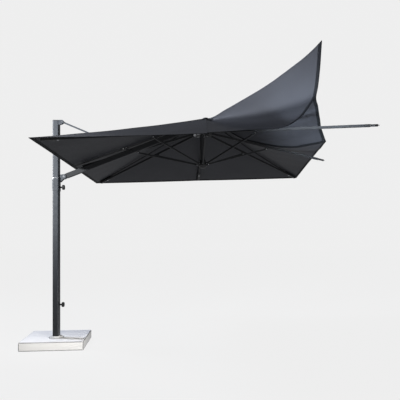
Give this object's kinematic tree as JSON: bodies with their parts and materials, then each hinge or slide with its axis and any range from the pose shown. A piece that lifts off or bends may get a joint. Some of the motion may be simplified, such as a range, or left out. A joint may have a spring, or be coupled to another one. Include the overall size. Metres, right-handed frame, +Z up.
{
  "type": "cantilever parasol",
  "caption": "Square cantilever parasol on a rotating mast with a sliding carriage, raised arm and stay; one canopy corner is off its rib and blown up.",
  "frame": {"origin": "on the underside of the base slab, on the axis of the mast", "axes": "+X from the mast towards the canopy, along the arm; +Z up"},
  "size_m": [3.5763, 3.003, 2.9881],
  "materials": {
    "cloth": "woven, matt",
    "dark": "powder coated, satin",
    "frame": "powder coated, satin",
    "mast": "powder coated, satin",
    "plastic": "moulded, fine texture",
    "slab": "cast, smooth",
    "steel": "brushed"
  },
  "bodies": {
    "base": {"base_slab": "slab", "base_socket": "frame"},
    "mast": {"mast_tube": "mast", "socket_collar": "frame", "mast_foot_bush": "plastic", "mast_cap": "plastic", "mast_head": "mast", "stay_upper_pin": "steel"},
    "rotation_knob": {"rotation_knob": "plastic"},
    "carriage": {"carriage_sleeve": "mast", "carriage_ring": "steel", "arm_pivot_pin": "steel"},
    "carriage_knob": {"carriage_knob": "plastic"},
    "arm": {"arm_tube": "dark", "arm_root_fitting": "plastic", "arm_end_clevis": "plastic"},
    "stay": {"stay_rod": "steel"},
    "hub": {"hub_pole": "dark", "top_hub": "plastic", "hub_wire": "steel", "hub_bracket": "plastic", "hub_pivot_pin": "steel", "top_cap": "plastic"},
    "runner": {"runner": "plastic", "runner_cap": "plastic"},
    "rib_right_mid": {"rib_right_mid": "dark", "rib_tip_right_mid": "plastic"},
    "strut_right_mid": {"strut_right_mid": "dark"},
    "rib_far_right": {"rib_far_right": "dark"},
    "strut_far_right": {"strut_far_right": "dark"},
    "rib_far_mid": {"rib_far_mid": "dark"},
    "strut_far_mid": {"strut_far_mid": "dark"},
    "rib_far_left": {"rib_far_left": "dark"},
    "strut_far_left": {"strut_far_left": "dark"},
    "rib_left_mid": {"rib_left_mid": "dark"},
    "strut_left_mid": {"strut_left_mid": "dark"},
    "rib_near_left": {"rib_near_left": "dark"},
    "strut_near_left": {"strut_near_left": "dark"},
    "rib_near_mid": {"rib_near_mid": "dark"},
    "strut_near_mid": {"strut_near_mid": "dark"},
    "rib_near_right": {"rib_near_right": "dark", "rib_tip_near_right": "plastic"},
    "strut_near_right": {"strut_near_right": "dark"},
    "loose_right_mid": {"loose_right_mid_plus": "cloth"},
    "loose_right_mid_minus": {"loose_right_mid_minus": "cloth"},
    "canopy_far_right_plus": {"canopy_far_right_plus": "cloth"},
    "canopy_far_right_minus": {"canopy_far_right_minus": "cloth"},
    "canopy_far_mid_plus": {"canopy_far_mid_plus": "cloth"},
    "canopy_far_mid_minus": {"canopy_far_mid_minus": "cloth"},
    "canopy_far_left_plus": {"canopy_far_left_plus": "cloth"},
    "canopy_far_left_minus": {"canopy_far_left_minus": "cloth"},
    "canopy_left_mid_plus": {"canopy_left_mid_plus": "cloth"},
    "canopy_left_mid_minus": {"canopy_left_mid_minus": "cloth"},
    "canopy_near_left_plus": {"canopy_near_left_plus": "cloth"},
    "canopy_near_left_minus": {"canopy_near_left_minus": "cloth"},
    "canopy_near_mid_plus": {"canopy_near_mid_plus": "cloth"},
    "canopy_near_mid_minus": {"canopy_near_mid_minus": "cloth"},
    "loose_near_right": {"loose_near_right_plus": "cloth"},
    "loose_near_right_minus": {"loose_near_right_minus": "cloth"}
  },
  "joints": [
    {"name": "mast_turn", "type": "hinge", "parent": "base", "child": "mast", "pos_m": [0, 0, 0.3], "axis": [0, 0, 1], "continuous": true},
    {"name": "rotation_knob_turn", "type": "hinge", "parent": "mast", "child": "rotation_knob", "pos_m": [0.08, 0, 0.484], "axis": [1, 0, 0], "range_deg": [-720, 0]},
    {"name": "carriage_slide", "type": "slide", "parent": "mast", "child": "carriage", "axis": [0, 0, -1], "range_m": [0, 0.99]},
    {"name": "carriage_knob_turn", "type": "hinge", "parent": "carriage", "child": "carriage_knob", "pos_m": [0.08, 0, 1.845], "axis": [1, 0, 0], "range_deg": [-720, 0]},
    {"name": "arm_swing", "type": "hinge", "parent": "carriage", "child": "arm", "pos_m": [0.092, 0, 1.968], "axis": [0, -1, 0], "range_deg": [0, 53.63]},
    {"name": "hub_level", "type": "hinge", "parent": "arm", "child": "hub", "pos_m": [1.55712, 0, 2.53971], "axis": [0, 1, 0], "range_deg": [0, 53.63]},
    {"name": "stay_swing", "type": "hinge", "parent": "mast", "child": "stay", "pos_m": [0.075, -0.032, 2.597], "axis": [0, 1, 0], "range_deg": [0, 51.65]},
    {"name": "runner_slide", "type": "slide", "parent": "hub", "child": "runner", "axis": [0.0314, 0, -0.9995], "range_m": [0, 1.0448]},
    {"name": "rib_right_mid_fold", "type": "hinge", "parent": "hub", "child": "rib_right_mid", "pos_m": [1.77381, 0, 2.48949], "axis": [0, 1, 0], "range_deg": [0, 65.61]},
    {"name": "strut_right_mid_fold", "type": "hinge", "parent": "rib_right_mid", "child": "strut_right_mid", "pos_m": [2.45014, 0, 2.307], "axis": [0, 1, 0], "range_deg": [-133.32, 0]},
    {"name": "rib_far_right_fold", "type": "hinge", "parent": "hub", "child": "rib_far_right", "pos_m": [1.74892, 0.0601, 2.48871], "axis": [-0.7068, 0.7071, -0.0222], "range_deg": [0, 69.23]},
    {"name": "strut_far_right_fold", "type": "hinge", "parent": "rib_far_right", "child": "strut_far_right", "pos_m": [2.237, 0.54364, 2.35195], "axis": [-0.7068, 0.7071, -0.0222], "range_deg": [-132.87, 0]},
    {"name": "rib_far_mid_fold", "type": "hinge", "parent": "hub", "child": "rib_far_mid", "pos_m": [1.68885, 0.085, 2.48683], "axis": [-0.9995, 0, -0.0314], "range_deg": [0, 65.61]},
    {"name": "strut_far_mid_fold", "type": "hinge", "parent": "rib_far_mid", "child": "strut_far_mid", "pos_m": [1.69525, 0.75526, 2.28328], "axis": [-0.9995, 0, -0.0314], "range_deg": [-133.32, 0]},
    {"name": "rib_far_left_fold", "type": "hinge", "parent": "hub", "child": "rib_far_left", "pos_m": [1.62878, 0.0601, 2.48494], "axis": [-0.7068, -0.7071, -0.0222], "range_deg": [0, 69.23]},
    {"name": "strut_far_left_fold", "type": "hinge", "parent": "rib_far_left", "child": "strut_far_left", "pos_m": [1.15025, 0.54364, 2.31779], "axis": [-0.7068, -0.7071, -0.0222], "range_deg": [-132.87, 0]},
    {"name": "rib_left_mid_fold", "type": "hinge", "parent": "hub", "child": "rib_left_mid", "pos_m": [1.60389, 0.032, 2.48415], "axis": [0, -1, 0], "range_deg": [0, 65.61]},
    {"name": "strut_left_mid_fold", "type": "hinge", "parent": "rib_left_mid", "child": "strut_left_mid", "pos_m": [0.94035, 0.032, 2.25955], "axis": [0, -1, 0], "range_deg": [-133.32, 0]},
    {"name": "rib_near_left_fold", "type": "hinge", "parent": "hub", "child": "rib_near_left", "pos_m": [1.62878, -0.0601, 2.48494], "axis": [0.7068, -0.7071, 0.0222], "range_deg": [0, 69.23]},
    {"name": "strut_near_left_fold", "type": "hinge", "parent": "rib_near_left", "child": "strut_near_left", "pos_m": [1.15025, -0.54364, 2.31779], "axis": [0.7068, -0.7071, 0.0222], "range_deg": [-132.87, 0]},
    {"name": "rib_near_mid_fold", "type": "hinge", "parent": "hub", "child": "rib_near_mid", "pos_m": [1.68885, -0.085, 2.48683], "axis": [0.9995, 0, 0.0314], "range_deg": [0, 65.61]},
    {"name": "strut_near_mid_fold", "type": "hinge", "parent": "rib_near_mid", "child": "strut_near_mid", "pos_m": [1.69525, -0.75526, 2.28328], "axis": [0.9995, 0, 0.0314], "range_deg": [-133.32, 0]},
    {"name": "rib_near_right_fold", "type": "hinge", "parent": "hub", "child": "rib_near_right", "pos_m": [1.74892, -0.0601, 2.48871], "axis": [0.7068, 0.7071, 0.0222], "range_deg": [0, 70.71]},
    {"name": "strut_near_right_fold", "type": "hinge", "parent": "rib_near_right", "child": "strut_near_right", "pos_m": [2.23905, -0.54625, 2.3697], "axis": [0.7068, 0.7071, 0.0222], "range_deg": [-133.24, 0]},
    {"name": "loose_right_mid_drop", "type": "hinge", "parent": "hub", "child": "loose_right_mid", "pos_m": [1.77839, -0.00211, 2.65451], "axis": [0.0455, 0.999, 0.0014], "range_deg": [0, 70.19], "deforming": ["loose_right_mid_plus"]},
    {"name": "loose_right_mid_minus_pleat", "type": "hinge", "parent": "loose_right_mid", "child": "loose_right_mid_minus", "pos_m": [1.77839, -0.00211, 2.65451], "axis": [0.9804, -0.0459, -0.1914], "range_deg": [0, 74.74], "deforming": ["loose_right_mid_minus"]},
    {"name": "canopy_far_right_plus_pleat", "type": "hinge", "parent": "rib_far_right", "child": "canopy_far_right_plus", "pos_m": [1.77957, 0.048, 2.64779], "axis": [0.6757, 0.7014, -0.2267], "range_deg": [0, 50.62], "deforming": ["canopy_far_right_plus"]},
    {"name": "canopy_far_right_minus_pleat", "type": "hinge", "parent": "rib_far_right", "child": "canopy_far_right_minus", "pos_m": [1.77957, 0.048, 2.64779], "axis": [0.6757, 0.7014, -0.2267], "range_deg": [-53.99, 0], "deforming": ["canopy_far_right_minus"]},
    {"name": "canopy_far_mid_plus_pleat", "type": "hinge", "parent": "rib_far_mid", "child": "canopy_far_mid_plus", "pos_m": [1.73159, 0.048, 2.64629], "axis": [-0.0341, 0.9419, -0.3341], "range_deg": [0, 65.78], "deforming": ["canopy_far_mid_plus"]},
    {"name": "canopy_far_mid_minus_pleat", "type": "hinge", "parent": "rib_far_mid", "child": "canopy_far_mid_minus", "pos_m": [1.73159, 0.048, 2.64629], "axis": [-0.0341, 0.9419, -0.3341], "range_deg": [-70.25, 0], "deforming": ["canopy_far_mid_minus"]},
    {"name": "canopy_far_left_plus_pleat", "type": "hinge", "parent": "rib_far_left", "child": "canopy_far_left_plus", "pos_m": [1.68361, 0.048, 2.64478], "axis": [-0.6949, 0.6709, -0.259], "range_deg": [0, 52.44], "deforming": ["canopy_far_left_plus"]},
    {"name": "canopy_far_left_minus_pleat", "type": "hinge", "parent": "rib_far_left", "child": "canopy_far_left_minus", "pos_m": [1.68361, 0.048, 2.64478], "axis": [-0.6949, 0.6709, -0.259], "range_deg": [-57.78, 0], "deforming": ["canopy_far_left_minus"]},
    {"name": "canopy_left_mid_plus_pleat", "type": "hinge", "parent": "rib_left_mid", "child": "canopy_left_mid_plus", "pos_m": [1.68361, 0, 2.64478], "axis": [-0.937, 0, -0.3493], "range_deg": [0, 69.35], "deforming": ["canopy_left_mid_plus"]},
    {"name": "canopy_left_mid_minus_pleat", "type": "hinge", "parent": "rib_left_mid", "child": "canopy_left_mid_minus", "pos_m": [1.68361, 0, 2.64478], "axis": [-0.937, 0, -0.3493], "range_deg": [-69.35, 0], "deforming": ["canopy_left_mid_minus"]},
    {"name": "canopy_near_left_plus_pleat", "type": "hinge", "parent": "rib_near_left", "child": "canopy_near_left_plus", "pos_m": [1.68361, -0.048, 2.64478], "axis": [-0.6949, -0.6709, -0.259], "range_deg": [0, 57.78], "deforming": ["canopy_near_left_plus"]},
    {"name": "canopy_near_left_minus_pleat", "type": "hinge", "parent": "rib_near_left", "child": "canopy_near_left_minus", "pos_m": [1.68361, -0.048, 2.64478], "axis": [-0.6949, -0.6709, -0.259], "range_deg": [-52.44, 0], "deforming": ["canopy_near_left_minus"]},
    {"name": "canopy_near_mid_plus_pleat", "type": "hinge", "parent": "rib_near_mid", "child": "canopy_near_mid_plus", "pos_m": [1.73159, -0.048, 2.64629], "axis": [-0.0341, -0.9419, -0.3341], "range_deg": [0, 68.11], "deforming": ["canopy_near_mid_plus"]},
    {"name": "canopy_near_mid_minus_pleat", "type": "hinge", "parent": "rib_near_mid", "child": "canopy_near_mid_minus", "pos_m": [1.73159, -0.048, 2.64629], "axis": [-0.0341, -0.9419, -0.3341], "range_deg": [-65.78, 0], "deforming": ["canopy_near_mid_minus"]},
    {"name": "loose_near_right_drop", "type": "hinge", "parent": "hub", "child": "loose_near_right", "pos_m": [1.76402, -0.04416, 2.67369], "axis": [0.8041, 0.594, 0.0253], "range_deg": [0, 102.12], "deforming": ["loose_near_right_plus"]},
    {"name": "loose_near_right_minus_pleat", "type": "hinge", "parent": "loose_near_right", "child": "loose_near_right_minus", "pos_m": [1.76402, -0.04416, 2.67369], "axis": [0.5604, -0.8062, 0.1895], "range_deg": [-128.12, 0], "deforming": ["loose_near_right_minus"]}
  ],
  "couplings": [
    {"joint": "arm_swing", "follows": "carriage_slide", "rad_per_m": 0.94021},
    {"joint": "hub_level", "follows": "carriage_slide", "rad_per_m": 0.94021},
    {"joint": "stay_swing", "follows": "carriage_slide", "rad_per_m": 0.90528},
    {"joint": "runner_slide", "follows": "carriage_slide", "ratio": 1.0513},
    {"joint": "rib_right_mid_fold", "follows": "carriage_slide", "rad_per_m": 1.1514},
    {"joint": "strut_right_mid_fold", "follows": "carriage_slide", "rad_per_m": -2.3452},
    {"joint": "rib_far_right_fold", "follows": "carriage_slide", "rad_per_m": 1.2152},
    {"joint": "strut_far_right_fold", "follows": "carriage_slide", "rad_per_m": -2.3372},
    {"joint": "rib_far_mid_fold", "follows": "carriage_slide", "rad_per_m": 1.1514},
    {"joint": "strut_far_mid_fold", "follows": "carriage_slide", "rad_per_m": -2.3452},
    {"joint": "rib_far_left_fold", "follows": "carriage_slide", "rad_per_m": 1.2152},
    {"joint": "strut_far_left_fold", "follows": "carriage_slide", "rad_per_m": -2.3372},
    {"joint": "rib_left_mid_fold", "follows": "carriage_slide", "rad_per_m": 1.1514},
    {"joint": "strut_left_mid_fold", "follows": "carriage_slide", "rad_per_m": -2.3452},
    {"joint": "rib_near_left_fold", "follows": "carriage_slide", "rad_per_m": 1.2152},
    {"joint": "strut_near_left_fold", "follows": "carriage_slide", "rad_per_m": -2.3372},
    {"joint": "rib_near_mid_fold", "follows": "carriage_slide", "rad_per_m": 1.1514},
    {"joint": "strut_near_mid_fold", "follows": "carriage_slide", "rad_per_m": -2.3452},
    {"joint": "rib_near_right_fold", "follows": "carriage_slide", "rad_per_m": 1.2412},
    {"joint": "strut_near_right_fold", "follows": "carriage_slide", "rad_per_m": -2.3437},
    {"joint": "loose_right_mid_drop", "follows": "carriage_slide", "rad_per_m": 1.2322},
    {"joint": "loose_right_mid_minus_pleat", "follows": "carriage_slide", "rad_per_m": 1.3124},
    {"joint": "canopy_far_right_plus_pleat", "follows": "carriage_slide", "rad_per_m": 0.88721},
    {"joint": "canopy_far_right_minus_pleat", "follows": "carriage_slide", "rad_per_m": -0.94653},
    {"joint": "canopy_far_mid_plus_pleat", "follows": "carriage_slide", "rad_per_m": 1.1544},
    {"joint": "canopy_far_mid_minus_pleat", "follows": "carriage_slide", "rad_per_m": -1.2331},
    {"joint": "canopy_far_left_plus_pleat", "follows": "carriage_slide", "rad_per_m": 0.91922},
    {"joint": "canopy_far_left_minus_pleat", "follows": "carriage_slide", "rad_per_m": -1.0133},
    {"joint": "canopy_left_mid_plus_pleat", "follows": "carriage_slide", "rad_per_m": 1.2174},
    {"joint": "canopy_left_mid_minus_pleat", "follows": "carriage_slide", "rad_per_m": -1.2174},
    {"joint": "canopy_near_left_plus_pleat", "follows": "carriage_slide", "rad_per_m": 1.0133},
    {"joint": "canopy_near_left_minus_pleat", "follows": "carriage_slide", "rad_per_m": -0.91922},
    {"joint": "canopy_near_mid_plus_pleat", "follows": "carriage_slide", "rad_per_m": 1.1955},
    {"joint": "canopy_near_mid_minus_pleat", "follows": "carriage_slide", "rad_per_m": -1.1544},
    {"joint": "loose_near_right_drop", "follows": "carriage_slide", "rad_per_m": 1.7951},
    {"joint": "loose_near_right_minus_pleat", "follows": "carriage_slide", "rad_per_m": -2.2534}
  ]
}
